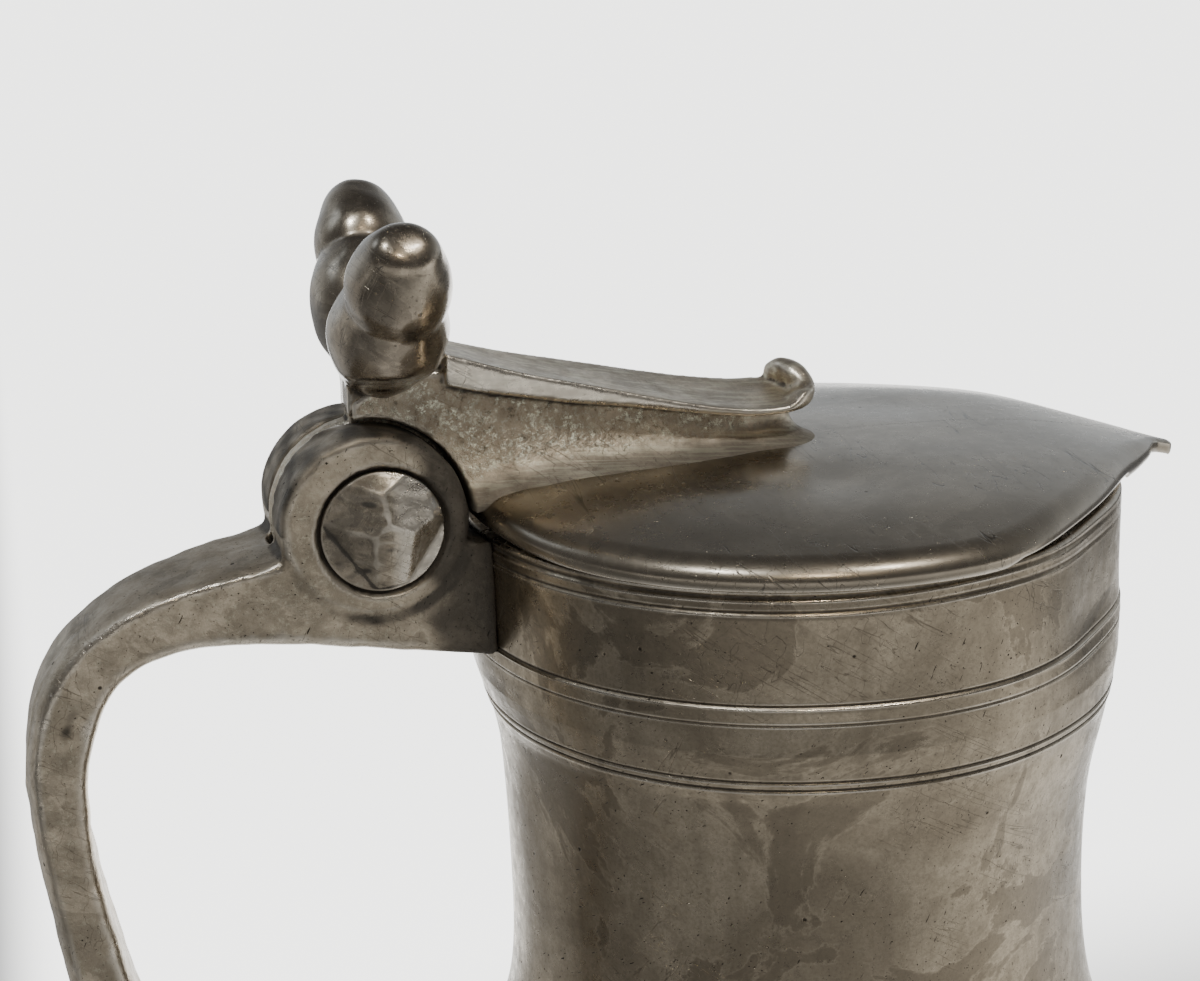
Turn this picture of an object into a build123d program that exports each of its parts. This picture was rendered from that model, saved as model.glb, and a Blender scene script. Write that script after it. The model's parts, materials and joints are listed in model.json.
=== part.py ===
from build123d import *
import math
import os

# Lidded pewter tankard (Channel Islands measure type): round baluster body, strap handle,
# heart-shaped lid on a three-lobe hinge, twin-acorn thumbpiece.
# Frame: origin at the centre of the base on the body's axis, +Z up.
# +X points to the tip of the lid, -X to the handle, and the hinge axis runs along Y.
# All sizes are in millimetres.

# ---------------------------------------------------------------- driving dimensions
# Body
RIM_Z = 195.1                # top of the rim
RIM_INNER_RADIUS = 41.6
RIM_CHAMFER = 0.4
COLLAR_RADIUS = 45.4
COLLAR_BOTTOM_Z = 173.4      # where the collar starts to round in
UPPER_REEDS_Z = (193.6, 191.9)
MIDDLE_REEDS_Z = (180.0, 177.6)
REED_WIDTH = 0.7
REED_DEPTH = 0.35
NECK_TOP = (43.7, 167.4)     # radius, height
NECK_WAIST = (41.05, 145.0)
NECK_FLARE = (42.4, 122.0)
SHOULDER = (50.0, 101.5)
BELLY_RADIUS = 58.0
BELLY_Z = 77.0               # the solder seam between the two cast halves
LOWER_BELLY = (55.6, 53.0)
ANKLE = (48.4, 28.0)
BODY_BOTTOM = (46.9, 11.0)
WALL = 2.4

# Foot
FOOT_RADIUS = 54.5
FOOT_HEIGHT = 11.0
FOOT_BAND_HEIGHT = 4.5
FOOT_INNER_RADIUS = 44.8
BASE_DISC_TOP_Z = 10.8
BASE_DISC_THICKNESS = 2.2

# Hinge
HINGE_X = -59.3
HINGE_Z = 198.5
EAR_RADIUS = 12.2
EAR_ROUNDING = 1.1           # on the outer edge of each ear
EAR_OUTER_Y = 10.0           # half the width over the two ears
KNUCKLE_HALF_WIDTH = 2.0
KNUCKLE_SIDE_GAP = 0.2       # between the lid's knuckle and each ear
SLOT_RADIUS = 12.8           # slot for the knuckle in the handle
SADDLE_RADIUS = 13.3         # hollow of the lid's rib round the ears
PIN_RADIUS = 3.0
PIN_RUNNING_GAP = 0.05
PLUG_RADIUS = 8.0
PLUG_RECESS = 1.4            # depth that each plug is sunk into its ear
PLUG_DOME = 2.6              # height that each plug stands out of its ear

# Handle
HANDLE_HALF_WIDTH_TOP = 9.6
HANDLE_HALF_WIDTH_GRIP = 7.4
HANDLE_HALF_WIDTH_END = 8.2
BRACKET_TOP_Z = 194.8

# Lid
LID_RADIUS = 46.3
LID_CROWN_Z = 202.0          # top of the dome on the body's axis
LID_EDGE_DROP = 4.8          # fall of the dome from the axis to LID_RADIUS
LID_THICKNESS = 2.0
LID_TIP_X = 59.2
NIB_HALF_WIDTH = 1.3
LID_ARC_END_DEG = 42.0       # the round back of the lid ends here, each side of the tip

# Rib and strip on the lid
STRIP_HALF_WIDTH = 6.2
STRIP_REAR_X = -48.5
STRIP_END_X = 3.5

# Thumbpiece
ACORN_FOOT = (-56.2, 3.4, 217.0)
ACORN_TIP = (-54.5, 22.8, 236.8)
ACORN_STALK_RADIUS = 4.2
CUP_RADIUS = 7.7
WAIST_RADIUS = 6.0
NUT_RADIUS = 6.35
NUT_SHOULDER_RADIUS = 4.4
THUMBPIECE_X = -57.0
THUMBPIECE_TURN_DEG = -2.2   # the casting was soldered on slightly askew

# ---------------------------------------------------------------- shared values
DOME_RADIUS = (LID_RADIUS ** 2 + LID_EDGE_DROP ** 2) / (2 * LID_EDGE_DROP)
DOME_CENTRE_Z = LID_CROWN_Z - DOME_RADIUS
EAR_INNER_Y = KNUCKLE_HALF_WIDTH + KNUCKLE_SIDE_GAP
BELLY_SEAM = (BELLY_RADIUS, BELLY_Z)
UP = (0, 1)
DOWN = (0, -1)


def turned(*edges):
    """A ring turned about Z from a closed outline of radius and height."""
    return revolve(Plane.XZ * make_face(list(edges)), Axis.Z)


def cross_cylinder(radius, y_low, y_high):
    """A cylinder round the hinge axis, from y_low to y_high."""
    length = y_high - y_low
    centre = Pos(HINGE_X, (y_low + y_high) / 2, HINGE_Z)
    return centre * Rot(90, 0, 0) * Cylinder(radius, length)


def side_plate(outline, y_low, y_high):
    """A plate whose outline lies in X and Z, from y_low to y_high."""
    face = Plane.XZ * outline
    return Pos(0, y_high, 0) * extrude(face, y_high - y_low)


def inset(point, amount):
    """A radius and height moved in towards the axis."""
    return (point[0] - amount, point[1])


def dome_ball(depth):
    """The ball whose surface is the top of the lid, or lies depth below it."""
    return Pos(0, 0, DOME_CENTRE_Z) * Sphere(DOME_RADIUS - depth)


# ---------------------------------------------------------------- body
def reed(z):
    """Outline points of one V-shaped reed line, from above it to below it."""
    half = REED_WIDTH / 2
    return [
        (COLLAR_RADIUS, z + half),
        (COLLAR_RADIUS - REED_DEPTH, z),
        (COLLAR_RADIUS, z - half),
    ]


def body_upper():
    """Collar, neck and shoulder, cast in one and turned."""
    bead = [
        (44.2, 170.6),
        (43.8, 170.0),
        (44.3, 169.2),
        (43.6, 168.4),
        NECK_TOP,
    ]
    outer = [
        (RIM_INNER_RADIUS + RIM_CHAMFER, RIM_Z),
        (COLLAR_RADIUS - RIM_CHAMFER, RIM_Z),
        (COLLAR_RADIUS, RIM_Z - RIM_CHAMFER),
    ]
    for z in UPPER_REEDS_Z + MIDDLE_REEDS_Z:
        outer += reed(z)
    outer.append((COLLAR_RADIUS, COLLAR_BOTTOM_Z))
    inner_rim = (RIM_INNER_RADIUS, RIM_Z - RIM_CHAMFER)
    inner_collar = (RIM_INNER_RADIUS - 0.4, COLLAR_BOTTOM_Z + 2)
    return turned(
        Polyline(*outer),
        ThreePointArc(outer[-1], (45.1, 171.8), bead[0]),
        Polyline(*bead),
        Spline(NECK_TOP, NECK_WAIST, NECK_FLARE, SHOULDER, BELLY_SEAM, tangents=[(-0.5, -1), DOWN]),
        Line(BELLY_SEAM, inset(BELLY_SEAM, WALL)),
        Spline(
            inset(BELLY_SEAM, WALL),
            inset(SHOULDER, WALL + 0.3),
            inset(NECK_FLARE, WALL),
            inset(NECK_WAIST, WALL),
            inner_collar,
            tangents=[UP, (0.1, 1)],
        ),
        Polyline(inner_collar, inner_rim, outer[0]),
    )


def body_lower():
    """The lower half of the belly, cast separately and soldered to the upper half."""
    return turned(
        Line(inset(BELLY_SEAM, WALL), BELLY_SEAM),
        Spline(BELLY_SEAM, LOWER_BELLY, ANKLE, BODY_BOTTOM, tangents=[DOWN, DOWN]),
        Line(BODY_BOTTOM, inset(BODY_BOTTOM, WALL)),
        Spline(
            inset(BODY_BOTTOM, WALL),
            inset(ANKLE, WALL),
            inset(LOWER_BELLY, WALL),
            inset(BELLY_SEAM, WALL),
            tangents=[UP, UP],
        ),
    )


def foot_ring():
    """Moulded foot: an upright band with a hollow curve above it."""
    band_top = (FOOT_RADIUS, FOOT_BAND_HEIGHT)
    waist = (47.9, FOOT_HEIGHT)
    return turned(
        Polyline(waist, (FOOT_INNER_RADIUS, FOOT_HEIGHT), (FOOT_INNER_RADIUS, 0), (FOOT_RADIUS - 0.8, 0)),
        Line((FOOT_RADIUS - 0.8, 0), (FOOT_RADIUS, 0.8)),
        Line((FOOT_RADIUS, 0.8), band_top),
        ThreePointArc(band_top, (49.8, 7.2), waist),
    )


def base_disc():
    """Flat bottom, set into the foot ring."""
    middle_z = BASE_DISC_TOP_Z - BASE_DISC_THICKNESS / 2
    return Pos(0, 0, middle_z) * Cylinder(FOOT_INNER_RADIUS, BASE_DISC_THICKNESS)


# ---------------------------------------------------------------- handle
def handle_width_limit():
    """Solid that narrows the handle from the hinge to the grip and widens its lower end."""
    top_plan = make_face(Polyline(
        (-40, EAR_OUTER_Y),
        (-72, HANDLE_HALF_WIDTH_TOP),
        (-96, HANDLE_HALF_WIDTH_GRIP),
        (-110, HANDLE_HALF_WIDTH_GRIP),
        (-110, -HANDLE_HALF_WIDTH_GRIP),
        (-96, -HANDLE_HALF_WIDTH_GRIP),
        (-72, -HANDLE_HALF_WIDTH_TOP),
        (-40, -EAR_OUTER_Y),
        close=True,
    ))
    upper = Pos(0, 0, 150) * extrude(top_plan, 70)
    back_view = Plane.YZ * make_face(Polyline(
        (HANDLE_HALF_WIDTH_GRIP, 150),
        (HANDLE_HALF_WIDTH_GRIP, 125),
        (HANDLE_HALF_WIDTH_END, 70),
        (-HANDLE_HALF_WIDTH_END, 70),
        (-HANDLE_HALF_WIDTH_GRIP, 125),
        (-HANDLE_HALF_WIDTH_GRIP, 150),
        close=True,
    ))
    lower = Pos(-120, 0, 0) * extrude(back_view, 100)
    return upper + lower


def handle(body_halves):
    """Strap handle with its bracket and the two hinge ears, cast in one."""
    back_start = (-70.0, 196.0)
    back_end = (-56.0, 76.5)
    grip_start = (-64.6, 182.5)
    grip_end = (-56.0, 86.5)
    back = Spline(
        back_start,
        (-88.2, 192.4),
        (-98.2, 186.5),
        (-104.2, 177.2),
        (-106.4, 158.0),
        (-104.4, 136.0),
        (-96.0, 107.0),
        (-80.0, 87.0),
        back_end,
    )
    grip = Spline(
        grip_end,
        (-75.0, 95.0),
        (-88.6, 111.5),
        (-96.0, 136.0),
        (-99.2, 158.0),
        (-97.3, 171.5),
        (-92.0, 181.2),
        (-79.0, 184.4),
        grip_start,
    )
    outline = make_face([
        back,
        Line(back_end, grip_end),
        grip,
        Polyline(grip_start, (-43, 178.6), (-43, BRACKET_TOP_Z), (-55, BRACKET_TOP_Z), back_start),
    ])
    strap = side_plate(outline, -EAR_OUTER_Y, EAR_OUTER_Y) & handle_width_limit()
    long_edges = strap.edges().filter_by(GeomType.BSPLINE)
    strap = fillet(long_edges, 1.8)
    barrel = cross_cylinder(EAR_RADIUS, -EAR_OUTER_Y, EAR_OUTER_Y)
    ears = fillet(barrel.edges().filter_by(GeomType.CIRCLE), EAR_ROUNDING)
    slot = cross_cylinder(SLOT_RADIUS, -EAR_INNER_Y, EAR_INNER_Y)
    bore = cross_cylinder(PIN_RADIUS, -EAR_OUTER_Y, EAR_OUTER_Y)
    recesses = cross_cylinder(PLUG_RADIUS, EAR_OUTER_Y - PLUG_RECESS, EAR_OUTER_Y)
    recesses += cross_cylinder(PLUG_RADIUS, -EAR_OUTER_Y, PLUG_RECESS - EAR_OUTER_Y)
    return strap + ears - slot - bore - recesses - body_halves


def hinge_pin():
    """Plain pin through both ears and the lid's knuckle."""
    end = EAR_OUTER_Y - PLUG_RECESS
    return cross_cylinder(PIN_RADIUS, -end, end)


def pin_plug(side):
    """Low faceted plug that closes one end of the pin's hole; side is -1 or 1."""
    inner_y = EAR_OUTER_Y - PLUG_RECESS
    facet_count = 6
    disc = cross_cylinder(PLUG_RADIUS, inner_y, EAR_OUTER_Y)
    cap_plane = Plane(origin=(HINGE_X, EAR_OUTER_Y, HINGE_Z), z_dir=(0, 1, 0))
    wide = cap_plane * RegularPolygon(PLUG_RADIUS - 0.3, facet_count)
    narrow = cap_plane * (Pos(0.6, 0.5, PLUG_DOME) * RegularPolygon(2.2, facet_count))
    plug = disc + loft([wide, narrow], ruled=True)
    return plug if side > 0 else mirror(plug, Plane.XZ)


# ---------------------------------------------------------------- lid
def lid_plate():
    """Domed heart-shaped sheet with a small nib at its tip."""
    angle = math.radians(LID_ARC_END_DEG)
    arc_end = (LID_RADIUS * math.cos(angle), LID_RADIUS * math.sin(angle))
    along_arc = (math.sin(angle), -math.cos(angle))
    nib_root = (54.6, 2.2)
    nib_end = (LID_TIP_X - 1.0, NIB_HALF_WIDTH)
    half = [
        ThreePointArc((-LID_RADIUS, 0), (0, LID_RADIUS), arc_end),
        Spline(arc_end, (46.2, 15.2), nib_root, tangents=[along_arc, (1, -0.55)]),
        Line(nib_root, nib_end),
        ThreePointArc(nib_end, (LID_TIP_X - 0.3, NIB_HALF_WIDTH * 0.7), (LID_TIP_X, 0)),
    ]
    other_half = [mirror(edge, Plane.XZ) for edge in half]
    heart = make_face(half + other_half)
    blank = Pos(0, 0, RIM_Z - 10) * extrude(heart, 30)
    return blank & dome_ball(0) - dome_ball(LID_THICKNESS)


def rib_section(x, base_z, top_z, base_half_width, top_half_width):
    """Cross-section of the rib at x, with hollow sides."""
    middle_z = base_z + 0.45 * (top_z - base_z)
    middle = top_half_width + 0.25 * (base_half_width - top_half_width)
    outline = make_face([
        Line((-base_half_width, base_z), (base_half_width, base_z)),
        ThreePointArc((base_half_width, base_z), (middle, middle_z), (top_half_width, top_z)),
        Line((top_half_width, top_z), (-top_half_width, top_z)),
        ThreePointArc((-top_half_width, top_z), (-middle, middle_z), (-base_half_width, base_z)),
    ])
    return Pos(x, 0, 0) * (Plane.YZ * outline)


def strip():
    """Strip along the top of the rib, thick at the acorns, thin before its lip, rounded at its end."""
    top = Spline(
        (STRIP_REAR_X, 219.4),
        (-32, 214.2),
        (-16, 210.1),
        (-8, 208.2),
        (-4, 207.9),
        (-1.2, 208.8),
        (0.3, 211.0),
    )
    lip_top = (1.6, 211.8)
    lip_outer = (3.2, 210.6)
    bottom = Spline(
        lip_outer,
        (2.9, 208.4),
        (-1.0, 206.6),
        (-8, 206.9),
        (-19, 208.7),
        (-32, 211.0),
        (STRIP_REAR_X, 215.2),
    )
    outline = make_face([
        top,
        ThreePointArc(top @ 1, lip_top, lip_outer),
        bottom,
        Line(bottom @ 1, top @ 0),
    ])
    end_corner = (STRIP_END_X - 2.3, STRIP_HALF_WIDTH)
    other_corner = (STRIP_END_X - 2.3, -STRIP_HALF_WIDTH)
    plan = make_face([
        ThreePointArc(other_corner, (STRIP_END_X, 0), end_corner),
        Polyline(
            end_corner,
            (STRIP_REAR_X, STRIP_HALF_WIDTH),
            (STRIP_REAR_X, -STRIP_HALF_WIDTH),
            other_corner,
        ),
    ])
    bar = side_plate(outline, -STRIP_HALF_WIDTH, STRIP_HALF_WIDTH)
    return bar & Pos(0, 0, LID_CROWN_Z) * extrude(plan, 20)


def lid_rib(thumb):
    """Hinge knuckle, hollow-sided rib and the strip on it, cast in one and soldered to the lid."""
    sections = [
        rib_section(-60.4, 205.0, 213.5, 6.5, 4.5),
        rib_section(-54.0, 198.0, 217.5, 9.0, 4.6),
        rib_section(-46.0, 194.0, 217.0, 10.0, 4.4),
        rib_section(-32.0, 196.0, 212.4, 9.0, 3.8),
        rib_section(-15.0, 198.5, 208.4, 7.0, 3.2),
        rib_section(-3.0, 200.0, 206.2, 5.0, 2.6),
        rib_section(4.0, 201.0, 202.6, 2.0, 1.0),
    ]
    web = loft(sections, ruled=True)
    saddle = cross_cylinder(SADDLE_RADIUS, -30, 30)
    knuckle = cross_cylinder(EAR_RADIUS, -KNUCKLE_HALF_WIDTH, KNUCKLE_HALF_WIDTH)
    neck_of_knuckle = cross_cylinder(SADDLE_RADIUS, -KNUCKLE_HALF_WIDTH, KNUCKLE_HALF_WIDTH) & web
    bore = cross_cylinder(PIN_RADIUS + PIN_RUNNING_GAP, -EAR_OUTER_Y, EAR_OUTER_Y)
    casting = (web - saddle) + neck_of_knuckle + strip()
    return casting - dome_ball(0) - thumb + knuckle - bore


def acorn(side):
    """One acorn: a cup with a domed nut above it, leaning outwards; side is -1 or 1."""
    foot = Vector(ACORN_FOOT[0], side * ACORN_FOOT[1], ACORN_FOOT[2])
    tip = Vector(ACORN_TIP[0], side * ACORN_TIP[1], ACORN_TIP[2])
    length = (tip - foot).length
    stalk = (ACORN_STALK_RADIUS, 0)
    cup = (CUP_RADIUS, 0.36 * length)
    waist = (WAIST_RADIUS, 0.57 * length)
    nut = (NUT_RADIUS, 0.73 * length)
    nut_shoulder = (NUT_SHOULDER_RADIUS, 0.92 * length)
    nut_tip = (0, length)
    outline = make_face([
        Line((0, 0), stalk),
        ThreePointArc(stalk, cup, waist),
        Spline(waist, nut, nut_shoulder, nut_tip, tangents=[(0.4, 1), (-1, 0)]),
        Line(nut_tip, (0, 0)),
    ])
    turned_acorn = revolve(Plane.XZ * outline, Axis.Z)
    return Plane(origin=foot, z_dir=tip - foot) * turned_acorn


def thumbpiece():
    """Twin acorns on a short bridge, cast in one."""
    bridge_face = Plane.YZ * make_face(Polyline(
        (-5.5, 208),
        (-7.5, 216),
        (-6.5, 224),
        (0, 222),
        (6.5, 224),
        (7.5, 216),
        (5.5, 208),
        close=True,
    ))
    bridge = Pos(-60.8, 0, 0) * extrude(bridge_face, 9.5)
    saddle = cross_cylinder(SADDLE_RADIUS, -30, 30)
    askew = Pos(THUMBPIECE_X, 0, 0) * Rot(0, 0, THUMBPIECE_TURN_DEG) * Pos(-THUMBPIECE_X, 0, 0)
    return askew * (bridge + acorn(-1) + acorn(1)) - saddle


# ---------------------------------------------------------------- build and write
upper_half = body_upper()
lower_half = body_lower()
acorns = thumbpiece()
NODES = {
    "body_upper": upper_half,
    "body_lower": lower_half,
    "foot_ring": foot_ring(),
    "base_disc": base_disc(),
    "handle": handle(upper_half + lower_half),
    "hinge_pin": hinge_pin(),
    "pin_plug_left": pin_plug(1),
    "pin_plug_right": pin_plug(-1),
    "lid_plate": lid_plate(),
    "lid_rib": lid_rib(acorns),
    "thumbpiece": acorns,
}

os.makedirs("parts", exist_ok=True)
for name, shape in NODES.items():
    export_step(shape, f"parts/{name}.step")
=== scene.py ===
import json
import math

import bmesh
import bpy
import numpy as np
from mathutils import Matrix, Vector


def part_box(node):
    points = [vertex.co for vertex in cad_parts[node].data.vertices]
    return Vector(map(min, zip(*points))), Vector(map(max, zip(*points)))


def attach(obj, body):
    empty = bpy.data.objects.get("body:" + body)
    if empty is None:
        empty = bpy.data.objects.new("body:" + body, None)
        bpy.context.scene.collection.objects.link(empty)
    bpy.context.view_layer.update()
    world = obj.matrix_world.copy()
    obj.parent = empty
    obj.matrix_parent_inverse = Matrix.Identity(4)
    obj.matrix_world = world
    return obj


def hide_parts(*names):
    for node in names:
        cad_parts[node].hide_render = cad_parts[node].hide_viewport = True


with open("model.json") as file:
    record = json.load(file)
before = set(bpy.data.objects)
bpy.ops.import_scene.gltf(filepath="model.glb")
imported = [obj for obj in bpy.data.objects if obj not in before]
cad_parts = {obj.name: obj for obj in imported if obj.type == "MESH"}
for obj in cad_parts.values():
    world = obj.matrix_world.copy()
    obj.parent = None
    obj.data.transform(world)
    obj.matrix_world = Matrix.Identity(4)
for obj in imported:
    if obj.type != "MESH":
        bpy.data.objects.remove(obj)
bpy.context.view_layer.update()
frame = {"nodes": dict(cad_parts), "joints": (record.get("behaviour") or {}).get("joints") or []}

# The pewter tankard's looks. Shapes are worked out in millimetres and turned into metres
# when a mesh is made. +Z is up, +X is towards the lid's tip and the hinge axis runs along Y.
MM = 0.001


def corners_mm(node):
    """Lowest and highest corner of a CAD node, in millimetres."""
    low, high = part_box(node)
    return np.array(low) / MM, np.array(high) / MM


# ------------ sizes read from the frame
UPPER_LOW, UPPER_HIGH = corners_mm("body_upper")
DISC_LOW, DISC_HIGH = corners_mm("base_disc")
FOOT_HIGH = corners_mm("foot_ring")[1]
LID_HIGH = corners_mm("lid_plate")[1]
HANDLE_HIGH = corners_mm("handle")[1]
RIM_Z = UPPER_HIGH[2]
BELLY_RADIUS = UPPER_HIGH[0]
BELLY_Z = UPPER_LOW[2]
FOOT_RADIUS = FOOT_HIGH[0]
FOOT_HEIGHT = FOOT_HIGH[2]
LID_TIP_X = LID_HIGH[0]
LID_CROWN_Z = LID_HIGH[2]
EAR_OUTER_Y = HANDLE_HIGH[1]
HINGE = np.array(frame["joints"][0]["pos_m"]) / MM

# Sizes that the frame doesn't give
COLLAR_RADIUS = 45.4
COLLAR_BOTTOM_Z = 173.4
MOUTH_RADIUS = 41.6
WALL = 2.4
EAR_RADIUS = 12.2
SADDLE_RADIUS = 12.9
KNUCKLE_HALF_WIDTH = 2.0
PIN_HOLE_RADIUS = 3.05


# ------------ numbers and fields
def smoothstep(low, high, x):
    t = np.clip((x - low) / (high - low), 0, 1)
    return t * t * (3 - 2 * t)


def bell(x, centre, width):
    return np.exp(-(((x - centre) / width) ** 2))


def ripple(points, wavelength, seed, waves=14):
    """Smooth random field of about -1 to 1 over points, from a sum of plane waves."""
    rng = np.random.default_rng(seed)
    total = np.zeros(len(points))
    for _ in range(waves):
        direction = rng.normal(size=3)
        direction /= np.linalg.norm(direction)
        length = wavelength * rng.uniform(0.7, 1.5)
        total += np.sin(points @ direction * (2 * math.pi / length) + rng.uniform(0, 2 * math.pi))
    return total / math.sqrt(waves * 2)


def bump_at(points, centre, radius):
    """Round bell of height 1 about centre."""
    distance = np.linalg.norm(points - np.array(centre), axis=1)
    return np.exp(-((distance / radius) ** 2))


def through(points, count):
    """count points on a smooth curve through the given ones, evenly spaced along it."""
    given = np.array(points, float)
    chord = np.r_[0, np.cumsum(np.linalg.norm(np.diff(given, axis=0), axis=1))]
    slopes = np.gradient(given, chord, axis=0)
    at = np.linspace(0, chord[-1], count)
    span = np.clip(np.searchsorted(chord, at, side="right") - 1, 0, len(given) - 2)
    width = (chord[span + 1] - chord[span])[:, None]
    t = ((at - chord[span])[:, None]) / width
    start = given[span] * (2 * t**3 - 3 * t**2 + 1) + slopes[span] * width * (t**3 - 2 * t**2 + t)
    return start + given[span + 1] * (3 * t**2 - 2 * t**3) + slopes[span + 1] * width * (t**3 - t**2)


def at_x(x, table):
    """Value at x of a smooth curve through (x, value) pairs."""
    curve = through(table, 200)
    return np.interp(x, curve[:, 0], curve[:, 1])


# ------------ old damage shared by pieces
PUSH_AZIMUTH = math.radians(-46)
PUSH_SPREAD = math.radians(17)
PUSH_IN = 2.1


def moved_out(points, amount):
    """points moved away from the vessel's axis by amount."""
    radius = np.hypot(points[:, 0], points[:, 1])
    moved = points.copy()
    moved[:, :2] *= (1 + amount / np.maximum(radius, 1))[:, None]
    return moved


def pushed_rim(points):
    """The collar is bent in a little, on the right of the handle."""
    radius = np.hypot(points[:, 0], points[:, 1])
    azimuth = np.arctan2(points[:, 1], points[:, 0])
    share = bell(azimuth, PUSH_AZIMUTH, PUSH_SPREAD)
    share *= smoothstep(168, 184, points[:, 2]) * smoothstep(12, 40, radius)
    return moved_out(points, -PUSH_IN * share)


# ------------ meshes
def new_object(name, data):
    """Object with this data, linked to the scene."""
    piece = bpy.data.objects.new(name, data)
    bpy.context.scene.collection.objects.link(piece)
    return piece


def make_object(name, points, faces):
    """Mesh object from points in millimetres, shaded smooth."""
    mesh = bpy.data.meshes.new(name)
    mesh.from_pydata((np.asarray(points) * MM).tolist(), [], faces)
    mesh.update()
    mesh.polygons.foreach_set("use_smooth", np.ones(len(mesh.polygons), bool))
    return new_object(name, mesh)


def tube_faces(rows, columns):
    """Quads of a grid of rows whose columns close into a loop."""
    i, j = np.meshgrid(np.arange(rows - 1), np.arange(columns), indexing="ij")
    k = (j + 1) % columns
    corners = [i * columns + j, i * columns + k, (i + 1) * columns + k, (i + 1) * columns + j]
    return np.stack(corners, -1).reshape(-1, 4).tolist()


def ring_faces(rows, columns):
    """Quads of a grid whose rows and columns both close into loops."""
    last = (rows - 1) * columns
    closing = [(last + j, last + (j + 1) % columns, (j + 1) % columns, j) for j in range(columns)]
    return tube_faces(rows, columns) + closing


def capped_tube(name, rings):
    """Closed mesh from loops of points, all of one length, with a flat cap at each end."""
    rows, columns = len(rings), len(rings[0])
    faces = tube_faces(rows, columns)
    faces.append(tuple(range(columns)))
    faces.append(tuple(range((rows - 1) * columns, rows * columns)))
    return outward(make_object(name, np.vstack(rings), faces))


def points_of(piece):
    flat = np.zeros(len(piece.data.vertices) * 3)
    piece.data.vertices.foreach_get("co", flat)
    return flat.reshape(-1, 3) / MM


def move_points(piece, points):
    piece.data.vertices.foreach_set("co", (points * MM).ravel())
    piece.data.update()


def normals_of(piece):
    flat = np.zeros(len(piece.data.vertices) * 3)
    piece.data.vertices.foreach_get("normal", flat)
    return flat.reshape(-1, 3)


def evaluated(piece):
    """piece with its modifiers applied to its mesh."""
    graph = bpy.context.evaluated_depsgraph_get()
    mesh = bpy.data.meshes.new_from_object(piece.evaluated_get(graph))
    piece.modifiers.clear()
    piece.data = mesh
    return piece


def remeshed(piece, voxel, rounding):
    """Fine, even mesh over closed and overlapping shells, with edges rounded as on a worn casting."""
    remesh = piece.modifiers.new("even", "REMESH")
    remesh.mode = "VOXEL"
    remesh.voxel_size = voxel * MM
    smooth = piece.modifiers.new("rounding", "SMOOTH")
    smooth.factor = 0.5
    smooth.iterations = rounding
    evaluated(piece)
    piece.data.polygons.foreach_set("use_smooth", np.ones(len(piece.data.polygons), bool))
    return piece


def softened(name, node, voxel, rounding):
    """Worn casting made from a CAD node."""
    mesh = frame["nodes"][node].data.copy()
    mesh.name = name
    mesh.materials.clear()
    return remeshed(new_object(name, mesh), voxel, rounding)


def joined(name, pieces):
    """One object from several; the meshes may overlap."""
    mesh = bmesh.new()
    for piece in pieces:
        mesh.from_mesh(piece.data)
        bpy.data.objects.remove(piece)
    whole = bpy.data.meshes.new(name)
    mesh.to_mesh(whole)
    mesh.free()
    return new_object(name, whole)


def cut_away(piece, cutter):
    """Takes the closed cutter out of piece and removes the cutter."""
    cut = piece.modifiers.new("cut", "BOOLEAN")
    cut.operation = "DIFFERENCE"
    cut.solver = "EXACT"
    cut.object = cutter
    evaluated(piece)
    bpy.data.objects.remove(cutter)


def neighbour_mean(mesh, values, rounds):
    """values at the points, averaged with their neighbours a few times."""
    edges = np.zeros(len(mesh.edges) * 2, int)
    mesh.edges.foreach_get("vertices", edges)
    a, b = edges.reshape(-1, 2).T
    count = np.bincount(np.r_[a, b], minlength=len(values))
    for _ in range(rounds):
        total = np.bincount(a, values[b], len(values)) + np.bincount(b, values[a], len(values))
        values = 0.5 * values + 0.5 * total / np.maximum(count, 1)
    return values


def round_off(piece, points, rounds, share):
    """Wears points down where share is above 0, as by long handling."""
    worn = np.stack([neighbour_mean(piece.data, line, rounds) for line in points.T], -1)
    points += (worn - points) * np.clip(share, 0, 1)[:, None]
    move_points(piece, points)


def curvature(piece):
    """Mean curvature at each point in 1/mm: above 0 on an edge, below 0 in a crease."""
    mesh = piece.data
    points = points_of(piece)
    normals = normals_of(piece)
    edges = np.zeros(len(mesh.edges) * 2, int)
    mesh.edges.foreach_get("vertices", edges)
    a, b = edges.reshape(-1, 2).T
    step = points[b] - points[a]
    square = np.maximum((step**2).sum(1), 1e-9)
    at_a = -(step * normals[a]).sum(1) / square
    at_b = (step * normals[b]).sum(1) / square
    total = np.bincount(a, at_a, len(points)) + np.bincount(b, at_b, len(points))
    count = np.bincount(np.r_[a, b], minlength=len(points))
    return total * 2 / np.maximum(count, 1)


def set_attribute(piece, name, values):
    attribute = piece.data.attributes.new(name, "FLOAT", "POINT")
    values = np.broadcast_to(np.clip(values, 0, 1), len(piece.data.vertices))
    attribute.data.foreach_set("value", values.astype(np.float32))


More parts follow.
